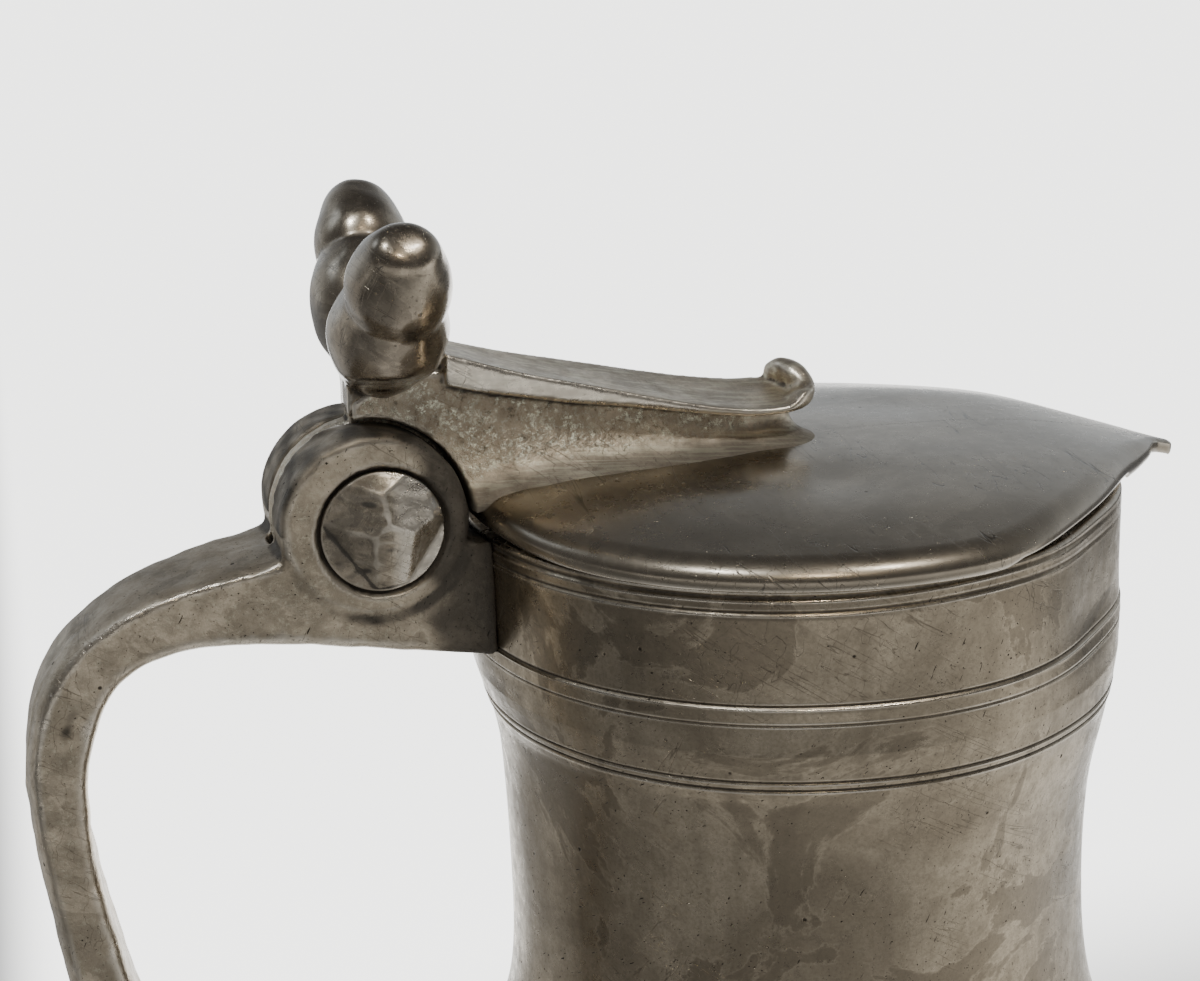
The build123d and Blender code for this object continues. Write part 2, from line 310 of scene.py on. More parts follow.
def age(piece, wear_and_highlight=(0.06, 0.3), dirt_and_shade=(0.05, 0.3), extra_dirt_and_shade=0.0, extra_wear_and_highlight=0.0, polish=0.0):
    """Writes what the pewter material reads: worn edges and painted highlights, creases darkened by
    soiling and painted shade, other darkened places, and smooth, polished places.
    """
    bend = neighbour_mean(piece.data, curvature(piece), 3)
    patch = 0.6 + 0.4 * ripple(points_of(piece), 14, 5)
    # Brightening: worn convex edges, plus what each piece adds, which on the lid is a painted highlight.
    edges = smoothstep(wear_and_highlight[0], wear_and_highlight[1], bend) * patch * (1 - np.clip(1.3 * extra_dirt_and_shade, 0, 1))
    set_attribute(piece, "wear_and_highlight", edges + extra_wear_and_highlight)
    # Darkening: creases, partly soiling and partly painted shade like the shade that falls in them, plus
    # what each piece adds, which holds painted shade on the handle and the rib.
    set_attribute(piece, "dirt_and_shade", smoothstep(dirt_and_shade[0], dirt_and_shade[1], -bend) + extra_dirt_and_shade)
    set_attribute(piece, "polish", polish)


def turned(name, outline, segments, field=None):
    """Closed ring turned from an outline of radius and height; field moves its points."""
    outline = np.array(outline, float)
    angles = np.linspace(0, 2 * math.pi, segments, endpoint=False)
    radius = outline[:, 0][:, None]
    height = np.repeat(outline[:, 1][:, None], segments, 1)
    points = np.stack([radius * np.cos(angles), radius * np.sin(angles), height], axis=-1).reshape(-1, 3)
    if field:
        points = field(points)
    return outward(make_object(name, points, ring_faces(len(outline), segments)))


def outward(piece):
    """Turns all faces to point outwards."""
    mesh = bmesh.new()
    mesh.from_mesh(piece.data)
    bmesh.ops.recalc_face_normals(mesh, faces=mesh.faces)
    mesh.to_mesh(piece.data)
    mesh.free()
    piece.data.update()
    return piece


# ------------ material
class Nodes:
    """Short ways to add shader nodes to one material."""

    def __init__(self, material):
        self.tree = material.node_tree
        self.where = self.tree.nodes.new("ShaderNodeTexCoord").outputs["Object"]

    def put(self, socket, value):
        if isinstance(value, bpy.types.NodeSocket):
            self.tree.links.new(value, socket)
        elif isinstance(value, tuple) and socket.type == "RGBA":
            socket.default_value = (*value, 1)
        else:
            socket.default_value = value

    def add(self, kind, **inputs):
        node = self.tree.nodes.new(kind)
        for name, value in inputs.items():
            self.put(node.inputs[name.replace("_", " ")], value)
        return node

    def maths(self, operation, a, b=0.0, clamp=False):
        node = self.tree.nodes.new("ShaderNodeMath")
        node.operation = operation
        node.use_clamp = clamp
        self.put(node.inputs[0], a)
        self.put(node.inputs[1], b)
        return node.outputs[0]

    def times(self, a, b):
        return self.maths("MULTIPLY", a, b)

    def either(self, a, b):
        return self.maths("MAXIMUM", a, b)

    def ramp(self, value, low, high, to_low=0.0, to_high=1.0):
        node = self.tree.nodes.new("ShaderNodeMapRange")
        node.interpolation_type = "SMOOTHSTEP"
        self.put(node.inputs["Value"], value)
        self.put(node.inputs["From Min"], low)
        self.put(node.inputs["From Max"], high)
        self.put(node.inputs["To Min"], to_low)
        self.put(node.inputs["To Max"], to_high)
        return node.outputs["Result"]

    def mix(self, share, a, b):
        node = self.tree.nodes.new("ShaderNodeMix")
        node.data_type = "RGBA"
        self.put(node.inputs[0], share)
        self.put(node.inputs[6], a)
        self.put(node.inputs[7], b)
        return node.outputs[2]

    def stretched(self, lengths_mm, turn=(0, 0, 0)):
        """Object coordinates, turned, with a unit of each length in millimetres."""
        node = self.tree.nodes.new("ShaderNodeMapping")
        node.vector_type = "TEXTURE"
        node.inputs["Scale"].default_value = [length * MM for length in lengths_mm]
        node.inputs["Rotation"].default_value = turn
        self.tree.links.new(self.where, node.inputs["Vector"])
        return node.outputs["Vector"]

    def noise(self, size_mm, detail=3.0, rough=0.55, distortion=0.0, turn=(0, 0, 0)):
        """Noise with blobs of size_mm, one number or a length along each turned axis."""
        lengths = (size_mm,) * 3 if isinstance(size_mm, (int, float)) else size_mm
        node = self.add(
            "ShaderNodeTexNoise", Scale=1.0, Detail=detail, Roughness=rough, Distortion=distortion
        )
        self.tree.links.new(self.stretched(lengths, turn), node.inputs["Vector"])
        return node.outputs["Fac"]

    def spots(self, cell_mm, radius_mm, chance):
        """Round spots, one in some of the cells of a scattered grid."""
        node = self.add("ShaderNodeTexVoronoi", Scale=1 / (cell_mm * MM), Randomness=1.0)
        self.tree.links.new(self.where, node.inputs["Vector"])
        radius = radius_mm / cell_mm
        inside = self.ramp(node.outputs["Distance"], radius, radius * 0.45)
        split = self.tree.nodes.new("ShaderNodeSeparateColor")
        self.tree.links.new(node.outputs["Color"], split.inputs[0])
        return self.times(inside, self.maths("LESS_THAN", split.outputs[0], chance))

    def nicks(self, length_mm, width_mm, turn, level):
        """Short straight nicks that all run one way: the peaks of a drawn-out noise."""
        drawn = self.noise((width_mm, width_mm * 1.4, length_mm), 1.0, 0.4, turn=turn)
        return self.ramp(drawn, level, level + 0.035)

    def hairlines(self, size_mm, turn, width):
        """Fine long lines: where a drawn-out noise crosses its middle value."""
        drawn = self.noise(size_mm, 2.0, 0.4, turn=turn)
        away = self.maths("ABSOLUTE", self.maths("SUBTRACT", drawn, 0.5))
        return self.ramp(away, width, 0.0)

    def attribute(self, name):
        node = self.tree.nodes.new("ShaderNodeAttribute")
        node.attribute_name = name
        return node.outputs["Fac"]


# Dark tone for pits, soiling and painted shade; bright tone for worn edges and painted highlights.
DIRT_AND_SHADE_TONE = (0.030, 0.026, 0.021)
BRIGHT_TONE = (0.74, 0.68, 0.58)


def faded(tone, amount):
    return tuple(min(1.0, amount * c) for c in tone)


def pewter(
    name,
    light,
    dark,
    roughness,
    cloud_mm,
    grain=0.0,
    streaks=0.0,
    marks=1.0,
    patches=0.5,
    scratch=1.0,
    relief=1.0,
    mottled=1.0,
    coat=0.0,
):
    """Old pewter: clouded grey-brown metal with pits, nicks, creases darkened by soiling and painted
    shade, and bright worn edges and painted highlights.

    grain is for rough castings, streaks run down the piece, marks are pits and nicks, patches are
    large stains, relief is the bump's strength and mottled the strength of the fine blotches.
    """
    material = bpy.data.materials.new(name)
    material.use_nodes = True
    n = Nodes(material)
    shader = n.tree.nodes["Principled BSDF"]
    wear_and_highlight = n.attribute("wear_and_highlight")
    dirt_and_shade = n.attribute("dirt_and_shade")
    polish = n.attribute("polish")
    rough_cast = n.maths("SUBTRACT", 1.0, polish, clamp=True)

    # Clouds, stains with a tide line round them, and fine blotches
    clouds = n.ramp(n.noise(cloud_mm, 6.0, 0.62, 0.6), 0.36, 0.66)
    edge = n.noise(cloud_mm * 0.9, 8.0, 0.60, 0.9)
    patch = n.ramp(edge, 0.53, 0.56)
    tide = n.ramp(n.maths("ABSOLUTE", n.maths("SUBTRACT", edge, 0.535)), 0.012, 0.0)
    mottle = n.noise(2.2, 5.0, 0.68)
    speckle = n.noise(0.45, 3.0, 0.7)

    # Pits, nicks and hairlines, thicker in some places than in others
    here = n.ramp(n.noise(13, 2.0, 0.5), 0.47, 0.60)
    large_pits = n.spots(4.6, 0.36, 0.40)
    small_pits = n.times(n.either(n.spots(1.5, 0.17, 0.34), n.spots(1.1, 0.12, 0.3)), here)
    pits = n.either(large_pits, small_pits)
    dashes = n.either(
        n.nicks(2.4, 0.28, (1.1, 0.4, 0.3), 0.735), n.nicks(1.8, 0.24, (0.5, -0.9, 1.2), 0.735)
    )
    dashes = n.either(dashes, n.nicks(2.8, 0.30, (0.35, 0.3, 0.8), 0.75))
    some_dashes = n.times(dashes, n.ramp(n.noise(19, 2.0, 0.5), 0.42, 0.55, 0.15, 1.0))
    pits = n.times(n.either(pits, some_dashes), marks)
    one_way = n.hairlines((28, 25, 1.4), (0.3, 0.5, 0.4), 0.008)
    other_way = n.hairlines((2.0, 2.4, 45), (0.5, -0.3, 0.9), 0.007)
    some_lines = n.times(n.either(one_way, other_way), n.ramp(n.noise(17, 2.0, 0.5), 0.50, 0.60))
    lines = n.times(some_lines, scratch)

    colour = n.mix(clouds, dark, light)
    colour = n.mix(n.times(patch, patches), colour, faded(dark, 0.80))
    colour = n.mix(n.times(tide, 0.35 * patches), colour, faded(light, 1.25))
    colour = n.mix(n.ramp(mottle, 0.42, 0.68, 0.0, 0.40 * mottled), colour, faded(dark, 0.75))
    colour = n.mix(n.ramp(speckle, 0.40, 0.70, 0.0, 0.35 * mottled), colour, faded(dark, 0.60))
    if streaks:
        run = n.noise((5.5, 5.5, 90), 3.0, 0.6)
        colour = n.mix(n.ramp(run, 0.50, 0.70, 0.0, streaks), colour, faded(dark, 0.60))
    if grain:
        glints = n.ramp(n.noise(0.9, 9.0, 0.88), 0.50, 0.60)
        glints = n.times(glints, n.ramp(n.noise(4, 3.0, 0.6), 0.38, 0.56, 0.3, 1.0))
        hollows = n.ramp(n.noise(1.3, 9.0, 0.85), 0.52, 0.63)
        colour = n.mix(n.times(n.times(hollows, 0.8 * grain), rough_cast), colour, faded(dark, 0.30))
        colour = n.mix(n.times(n.times(glints, grain), rough_cast), colour, faded(light, 1.9))
        drawn = n.ramp(n.noise((14, 0.8, 0.5), 3.0, 0.6, turn=(0.0, 0.10, 0.0)), 0.48, 0.62)
        colour = n.mix(n.times(n.times(drawn, 0.3 * grain), polish), colour, faded(light, 1.7))
    colour = n.mix(n.times(lines, 0.6), colour, faded(dark, 0.45))
    colour = n.mix(n.times(pits, 0.9), colour, DIRT_AND_SHADE_TONE)
    # Painted shade and soiling darken towards the dark tone; worn edges and painted highlights brighten
    # towards the bright tone.
    colour = n.mix(n.times(dirt_and_shade, 0.88), colour, DIRT_AND_SHADE_TONE)
    colour = n.mix(n.times(wear_and_highlight, 0.80), colour, BRIGHT_TONE)
    n.put(shader.inputs["Base Color"], colour)

    smooth_spots = roughness - 0.05 * mottled
    dull_spots = roughness + 0.09 * mottled
    rough = n.maths("ADD", n.ramp(mottle, 0.3, 0.7, smooth_spots, dull_spots), n.times(dirt_and_shade, 0.30))
    rough = n.maths("ADD", rough, n.times(pits, 0.30))
    if grain:
        rough = n.maths("ADD", rough, n.times(rough_cast, 0.12 * grain))
    rough = n.maths("SUBTRACT", rough, n.times(wear_and_highlight, 0.10), clamp=True)
    n.put(shader.inputs["Roughness"], rough)
    n.put(shader.inputs["Metallic"], n.maths("SUBTRACT", 1.0, n.times(dirt_and_shade, 0.55), clamp=True))

    cast = n.maths("MULTIPLY_ADD", n.times(rough_cast, grain), 0.16)
    cast.node.inputs[2].default_value = 0.012 * relief
    height = n.times(n.noise(1.3, 5.0, 0.62), n.maths("ADD", cast, 0.016 * relief))
    height = n.maths("ADD", height, n.times(n.noise(7, 2.0, 0.5), 0.12 * relief))
    height = n.maths("ADD", height, n.times(n.noise(0.4, 3.0, 0.65), cast))
    height = n.maths("SUBTRACT", height, n.times(pits, 0.10))
    height = n.maths("SUBTRACT", height, n.times(lines, 0.025))
    bump = n.add("ShaderNodeBump", Strength=1.0, Distance=MM)
    n.put(bump.inputs["Height"], height)
    n.put(shader.inputs["Normal"], bump.outputs["Normal"])
    shader.inputs["Coat Weight"].default_value = coat
    shader.inputs["Coat Roughness"].default_value = 0.10
    return material


BODY_PEWTER = pewter(
    "old_pewter_body", (0.46, 0.39, 0.29), (0.27, 0.224, 0.162), 0.30, 30, streaks=0.35, patches=0.8
)
HANDLE_PEWTER = pewter("old_pewter_handle", (0.58, 0.49, 0.37), (0.32, 0.27, 0.20), 0.31, 16, grain=0.25)
LID_PEWTER = pewter(
    "old_pewter_lid",
    (0.37, 0.318, 0.245),
    (0.265, 0.226, 0.172),
    0.28,
    24,
    marks=0.45,
    patches=0.3,
    scratch=1.5,
    relief=0.35,
    mottled=0.35,
    coat=0.25,
)
RIB_PEWTER = pewter(
    "old_pewter_cast_rib",
    (0.68, 0.575, 0.43),
    (0.40, 0.335, 0.25),
    0.36,
    9,
    grain=1.0,
    marks=0.2,
    patches=0.2,
)
ACORN_PEWTER = pewter(
    "old_pewter_acorns",
    (0.44, 0.375, 0.285),
    (0.23, 0.192, 0.145),
    0.25,
    8,
    marks=0.5,
    relief=0.5,
    mottled=0.7,
    coat=0.35,
)
HINGE_PEWTER = pewter(
    "old_pewter_hinge",
    (0.56, 0.475, 0.36),
    (0.26, 0.22, 0.165),
    0.31,
    6,
    grain=0.35,
    marks=0.5,
    coat=0.2,
)


def finish_piece(piece, material, body, slot, *nodes):
    """Gives a piece its material and says which body it rides on and which nodes it stands for."""
    piece.data.materials.clear()
    piece.data.materials.append(material)
    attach(piece, body)
    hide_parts(*nodes)


# ------------ vessel
# Where each dent lies, its size and its depth
DENTS = (
    ((-8, -43, 158), 9, 0.45),
    ((22, -36, 150), 12, 0.55),
    ((30, -30, 138), 10, 0.4),
    ((-40, 20, 120), 12, 0.6),
    ((10, 56, 84), 14, 0.7),
    ((-20, -53, 70), 12, 0.5),
)


# Heights of the pairs of reed lines
RIM_REEDS = (193.9, 192.0)
COLLAR_REEDS = (180.0, 177.6)
BEAD_REEDS = (169.5, 168.3)


def wobble(points):
    """Slight unevenness of a hand-turned and knocked wall."""
    amount = 0.16 * ripple(points, 46, 11) + 0.05 * ripple(points, 15, 12)
    amount *= smoothstep(194, 180, points[:, 2])
    for centre, size, depth in DENTS:
        amount -= depth * bump_at(points, centre, size)
    moved = moved_out(points, amount)
    moved[:, :2] += 0.55 * bell(points[:, 2], 164, 8)[:, None] * np.array([0.96, -0.26])
    return moved


def groove(z, at, width, depth):
    """A cut line with a low burr just under it."""
    return depth * (0.3 * bell(z, at - 1.6 * width, width) - bell(z, at, width))


def rim_reeds(points):
    """The two lines under the rim, worn away on the right of the handle."""
    radius = np.hypot(points[:, 0], points[:, 1])
    azimuth = np.degrees(np.arctan2(points[:, 1], points[:, 0]))
    z = points[:, 2] - 0.5 * bell(azimuth, -75, 20)
    depth = groove(z, RIM_REEDS[0], 0.36, 0.30) + groove(z, RIM_REEDS[1], 0.28, 0.24)
    on_outside = smoothstep(COLLAR_RADIUS - 0.9, COLLAR_RADIUS - 0.3, radius)
    depth *= (1 - 0.95 * bell(azimuth, -30, 30)) * on_outside
    return moved_out(points, depth)


def collar_outline():
    """Radius and height down the collar, with its lower reed lines."""
    z = np.arange(RIM_Z - 0.6, COLLAR_BOTTOM_Z, -0.11)
    r = np.full(len(z), COLLAR_RADIUS)
    r += groove(z, COLLAR_REEDS[0], 0.24, 0.24) + groove(z, COLLAR_REEDS[1], 0.17, 0.13)
    r += 0.12 * smoothstep(177.4, 177.9, z) * smoothstep(180.1, 179.6, z)
    r -= 0.35 * smoothstep(177.5, COLLAR_BOTTOM_Z - 0.5, z)
    return np.c_[r, z]


def bead_outline():
    """Radius and height from the collar's lower edge over its bead to the neck."""
    heights = (166.5, 167.6, 168.6, 169.6, 170.6, 172.0, COLLAR_BOTTOM_Z)
    radii = (43.35, 43.7, 44.0, 44.2, 44.4, 44.75, COLLAR_RADIUS - 0.34)
    z = np.arange(COLLAR_BOTTOM_Z - 0.1, 166.6, -0.11)
    r = np.interp(z, heights, radii)
    r = r + groove(z, BEAD_REEDS[0], 0.20, 0.20) + groove(z, BEAD_REEDS[1], 0.22, 0.24)
    return np.c_[r, z]


def upper_body():
    outer = through(
        [
            (43.3, 166.4),
            (42.1, 160),
            (41.05, 145),
            (42.4, 122),
            (50.0, 101.5),
            (55.9, 89.5),
            (BELLY_RADIUS, BELLY_Z),
        ],
        110,
    )
    inner = through(
        [
            (BELLY_RADIUS - WALL, BELLY_Z),
            (53.3, 89.5),
            (47.3, 101.5),
            (40.0, 122),
            (38.65, 145),
            (39.4, 160),
            (41.2, 175),
        ],
        60,
    )
    rim_inside = [(MOUTH_RADIUS, RIM_Z - 12), (MOUTH_RADIUS, RIM_Z - 4), (MOUTH_RADIUS, RIM_Z - 0.7)]
    rim_top = [
        (MOUTH_RADIUS + 0.2, RIM_Z - 0.2),
        (MOUTH_RADIUS + 0.7, RIM_Z),
        (COLLAR_RADIUS - 1.6, RIM_Z),
        (COLLAR_RADIUS - 0.6, RIM_Z),
        (COLLAR_RADIUS - 0.15, RIM_Z - 0.25),
    ]
    outline = np.vstack([inner, rim_inside, rim_top, collar_outline(), bead_outline(), outer])
    piece = turned("vessel_upper", outline, 480, lambda p: pushed_rim(wobble(rim_reeds(p))))
    points = points_of(piece)
    radius = np.hypot(points[:, 0], points[:, 1])
    inside = smoothstep(-0.6, -1.6, radius - np.interp(points[:, 2], outer[::-1, 1], outer[::-1, 0]))
    age(piece, (0.25, 1.3), (0.25, 2.2), extra_dirt_and_shade=0.35 * inside)
    finish_piece(piece, BODY_PEWTER, "vessel", "pewter_body", "body_upper")


def lower_body():
    outer = through(
        [
            (BELLY_RADIUS, BELLY_Z),
            (57.3, 65),
            (55.6, 53.0),
            (48.4, 28.0),
            (46.9, 18),
            (46.9, FOOT_HEIGHT),
        ],
        80,
    )
    inner = outer[::-1] - np.array([WALL, 0])
    piece = turned("vessel_lower", np.vstack([outer, inner]), 480, wobble)
    seam = bell(points_of(piece)[:, 2], BELLY_Z, 0.6)
    age(piece, (0.12, 0.6), (0.08, 0.5), extra_dirt_and_shade=0.5 * seam)
    finish_piece(piece, BODY_PEWTER, "vessel", "pewter_body", "body_lower")


def foot():
    band = through(
        [(FOOT_RADIUS - 0.8, 0), (FOOT_RADIUS, 0.9), (FOOT_RADIUS, 2.4), (FOOT_RADIUS - 0.3, 4.4)], 14
    )
    cove = through([(FOOT_RADIUS - 1.4, 4.9), (51.0, 6.4), (49.0, 8.4), (47.95, FOOT_HEIGHT)], 24)
    inside = [(44.8, FOOT_HEIGHT), (44.8, 6), (44.8, 1.0), (45.6, 0)]
    piece = turned("foot_moulding", np.vstack([band, cove, inside]), 480)
    age(piece, (0.12, 0.5), (0.08, 0.5))
    finish_piece(piece, BODY_PEWTER, "vessel", "pewter_body", "foot_ring")


def bottom_disc():
    """Flat bottom with faint rings left by turning."""
    r = np.linspace(0.4, DISC_HIGH[0], 120)
    rings = 0.05 * np.sin(r * 2.2)
    top = np.c_[r, DISC_HIGH[2] - 0.12 + rings]
    under = np.c_[r, DISC_LOW[2] + 0.12 + rings][::-1]
    piece = turned("bottom_disc", np.vstack([top, under]), 240)
    age(piece, extra_dirt_and_shade=0.2)
    finish_piece(piece, BODY_PEWTER, "vessel", "pewter_body", "base_disc")


# ------------ handle and hinge
# Middle of the near plug and its recess, set a little off the hinge axis
PLUG_SHIFT = (0.9, -0.7)
NEAR_PLUG_RADIUS = 7.95
FAR_PLUG_RADIUS = 7.6
PLUG_HEIGHT = 2.55
PLUG_APEX = (0.5, 1.4)
PLUG_BEVEL_REACH = 6.3
# The strap's outer face looks away from this place, given by x and z
STRAP_CENTRE = (-66.0, 145.0)


def hinge_polar(points):
    """Distance and angle of points about the hinge axis; 0 degrees points to the lid."""
    dx = points[:, 0] - HINGE[0]
    dz = points[:, 2] - HINGE[2]
    return np.hypot(dx, dz), np.degrees(np.arctan2(dz, dx))


def crowned_strap(points, normals):
    """The outer face of the strap falls away to both sides."""
    out = points[:, [0, 2]] - np.array(STRAP_CENTRE)
    out /= np.linalg.norm(out, axis=1)[:, None]
    facing = np.clip((normals[:, [0, 2]] * out).sum(1), 0, 1)
    on_strap = smoothstep(-69.5, -76, points[:, 0]) + smoothstep(170, 150, points[:, 2])
    on_strap = np.clip(on_strap, 0, 1) * smoothstep(56, 64, np.hypot(points[:, 0], points[:, 1]))
    half_width = np.interp(points[:, 2], (80, 125, 172, 190), (8.1, 7.4, 7.4, 9.0))
    across = np.clip(np.abs(points[:, 1]) / half_width, 0, 1)
    crown = 1.2 * across**2 * facing * on_strap
    points[:, 0] -= crown * out[:, 0]
    points[:, 2] -= crown * out[:, 1]


# Where each lies, its size and its depth
STRAP_FLATS = (
    ((-83, -2, 193.5), 7, 0.6),
    ((-95, 1, 189), 6, 0.4),
    ((-104, 0, 171), 7, 0.35),
    ((-75, 2, 195.5), 5, 0.4),
)
STRAP_GOUGES = (
    ((-99.3, -7.4, 177.4), 1.5, 0.3),
    ((-99.9, -7.4, 175.6), 1.2, 0.3),
    ((-96.5, -7.4, 153), 0.9, 0.4),
)


def hammered_flats(points, normals):
    """Shallow flats beaten into the top of the strap, and gouges along its near side."""
    for centre, size, depth in STRAP_FLATS + STRAP_GOUGES:
        points -= normals * (depth * bump_at(points, centre, size))[:, None]


def from_plug(points):
    """Places about the middle of the near plug, and how far from it they are."""
    dx = points[:, 0] - HINGE[0] - PLUG_SHIFT[0]
    dz = points[:, 2] - HINGE[2] - PLUG_SHIFT[1]
    return dx, dz, np.hypot(dx, dz)


def widen_recess(points):
    """The near recess is worn wider than its plug."""
    dx, dz, distance = from_plug(points)
    on_near_face = smoothstep(-8.0, -8.6, points[:, 1])
    grow = 0.5 * bell(distance, 8.2, 1.3) * on_near_face / np.maximum(distance, 1)
    points[:, 0] += grow * dx
    points[:, 2] += grow * dz


def handle_piece():
    piece = softened("strap_handle", "handle", 0.40, 6)
    points = points_of(piece)
    points[:, 0] += 1.55 * smoothstep(180, 145, points[:, 2]) * smoothstep(85, 115, points[:, 2])
    normals = normals_of(piece)
    crowned_strap(points, normals)
    hammered_flats(points, normals)
    distance, angle = hinge_polar(points)
    on_near_face = smoothstep(-7.6, -8.4, points[:, 1]) * smoothstep(11.0, 9.0, distance)
    points[:, 0] += PLUG_SHIFT[0] * on_near_face
    points[:, 2] += PLUG_SHIFT[1] * on_near_face
    widen_recess(points)
    around = smoothstep(92, 108, angle) + smoothstep(-120, -160, angle)
    lip = bell(points[:, 1], -2.8, 0.6) * smoothstep(11.3, 12.0, distance) * around
    grow = lip * (0.20 + 0.10 * ripple(points, 2.0, 31) + 0.05 * ripple(points, 0.9, 32))
    points[:, 0] += grow * np.cos(np.radians(angle))
    points[:, 2] += grow * np.sin(np.radians(angle))
    points += normals * (0.10 * ripple(points, 9, 21) + 0.05 * ripple(points, 3.5, 22))[:, None]
    move_points(piece, points)
    ring = bell(from_plug(points)[2], 8.4, 0.45) * smoothstep(8.0, 9.2, np.abs(points[:, 1]))
    seam = bell(np.hypot(points[:, 0], points[:, 1]), COLLAR_RADIUS + 0.3, 0.6)
    # Darker on the bracket next to the collar, with a ragged edge.
    darker_by_collar = smoothstep(-55, -50.5, points[:, 0] + 2.0 * ripple(points, 7, 33))
    darker_by_collar *= smoothstep(173.5, 177.5, points[:, 2])
    # Painted shade on the ear's rounded side band, which lies in shadow.
    band = smoothstep(11.3, 11.9, distance) * smoothstep(13.5, 12.6, distance)
    band *= smoothstep(-120, -100, angle)
    band *= 0.75 + 0.30 * ripple(points, 4, 34)
    # Painted shade on the strap's upward-facing top, darker for how light falls on it.
    painted_shade_on_top = 0.45 * smoothstep(0.5, 0.9, normals[:, 2]) * smoothstep(-66, -72, points[:, 0])
    # The darkening sums the ring round the plug, the solder seam, the darker place by the collar, and
    # painted shade on the ear's side band and on the strap's top.
    darkening = 0.6 * ring + 0.7 * seam + 0.92 * darker_by_collar + band + painted_shade_on_top
    age(piece, (0.08, 0.36), (0.06, 0.3), extra_dirt_and_shade=darkening)
    finish_piece(piece, HANDLE_PEWTER, "vessel", "pewter_handle", "handle")


# Flats of a plug: the way each falls in degrees, its slope and how far from the top it starts
PLUG_FLATS = (
    (38, 0.34, 0),
    (160, 0.36, 0),
    (275, 0.34, 0),
    (214, 0.62, 1.7),
    (325, 0.7, 2.5),
    (96, 0.8, 3.2),
    (20, 0.9, 3.9),
)
# Steeper flats round a plug's edge: the way each falls in degrees and its slope
PLUG_BEVELS = ((15, 1.3), (70, 1.1), (135, 1.2), (185, 1.4), (240, 1.1), (290, 1.3), (335, 1.1))


def steepest(planes, sharpness):
    """Smooth maximum of several arrays."""
    return np.log(sum(np.exp(sharpness * plane) for plane in planes)) / sharpness


def plug(name, node, side, shift, seed):
    """Hammered plug: a low heap of flats with rounded ridges, in the ear's round recess."""
    radius = NEAR_PLUG_RADIUS if side < 0 else FAR_PLUG_RADIUS
    rows = 60
    spokes = 200
    r = radius * np.linspace(0.012, 1, rows)
    t = np.linspace(0, 2 * math.pi, spokes, endpoint=False)
    u = np.outer(r, np.cos(t))
    v = np.outer(r, np.sin(t))
    apex_u, apex_v = PLUG_APEX
    flats = []
    for degrees, slope, start in PLUG_FLATS:
        a = math.radians(degrees)
        flats.append(slope * ((u - apex_u) * math.cos(a) + (v - apex_v) * math.sin(a) - start))
    bevels = []
    for degrees, slope in PLUG_BEVELS:
        a = math.radians(degrees)
        bevels.append(slope * (u * math.cos(a) + v * math.sin(a) - PLUG_BEVEL_REACH))
    height = PLUG_HEIGHT - steepest([steepest(flats, 11.0), steepest(bevels, 7.0)], 7.0)
    height = np.clip(height, -0.5, 2.5)
    height += 0.08 * ripple(np.c_[u.ravel(), v.ravel(), 0 * u.ravel()], 2.4, seed).reshape(u.shape)
    face_y = side * EAR_OUTER_Y
    middle = HINGE + np.array([shift[0], 0, shift[1]])
    front = np.stack([middle[0] + u, face_y + side * (height - 0.1), middle[2] + v], -1)
    skirt = np.stack([middle[0] + u[-1], np.full(spokes, face_y - side * 1.3), middle[2] + v[-1]], -1)
    piece = capped_tube(name, [*front, skirt])
    across = points_of(piece)[:, 0] - middle[0]
    # Brighter towards the plug's right side and darker towards its left.
    brightening = 0.8 * smoothstep(0.2, 2.4, across)
    darkening = 0.45 * smoothstep(1.2, -1.6, across)
    age(piece, (0.08, 0.34), (0.05, 0.3), extra_dirt_and_shade=darkening, extra_wear_and_highlight=brightening)
    finish_piece(piece, HINGE_PEWTER, "vessel", "pewter_hinge", node)


# ------------ lid
LID_EDGE_RADIUS = 46.6
LID_DROP = 4.0
HINGE_RISE = 2.9
SHOULDER_RISE = 0.8
LID_THICKNESS = 1.95
# The edge rolls over this far in and down, and its lip reaches this far below the top
LID_ROLL_WIDTH = 3.3
LID_ROLL_FALL = 2.0
LID_LIP_REACH = 2.5
# Places on the straighter edge from the right of the handle to the tip
LID_RIGHT_SIDE = (
    (11.5, -44.95),
    (15.2, -43.25),
    (19.1, -40.7),
    (23.8, -36.9),
    (29.0, -32.2),
    (33.2, -28.0),
    (37.1, -23.6),
    (41.0, -18.9),
    (45.0, -14.3),
    (48.9, -10.0),
    (52.2, -6.2),
    (54.8, -2.6),
)


def shoulder_rise(x, y):
    """The top of the sheet is fuller on the left of its tip."""
    return SHOULDER_RISE * np.exp(-(((x - 35) ** 2 + (y - 18) ** 2) / 13**2))


def dome(x, y):
    """Height of the lid's top; its rear is bent up towards the hinge."""
    fall = LID_DROP * (np.hypot(x, y) / LID_EDGE_RADIUS) ** 2.6
    rise = HINGE_RISE * np.exp(-(((x + 47) ** 2 + y**2) / 21**2))
    return LID_CROWN_Z - fall + rise + shoulder_rise(x, y)


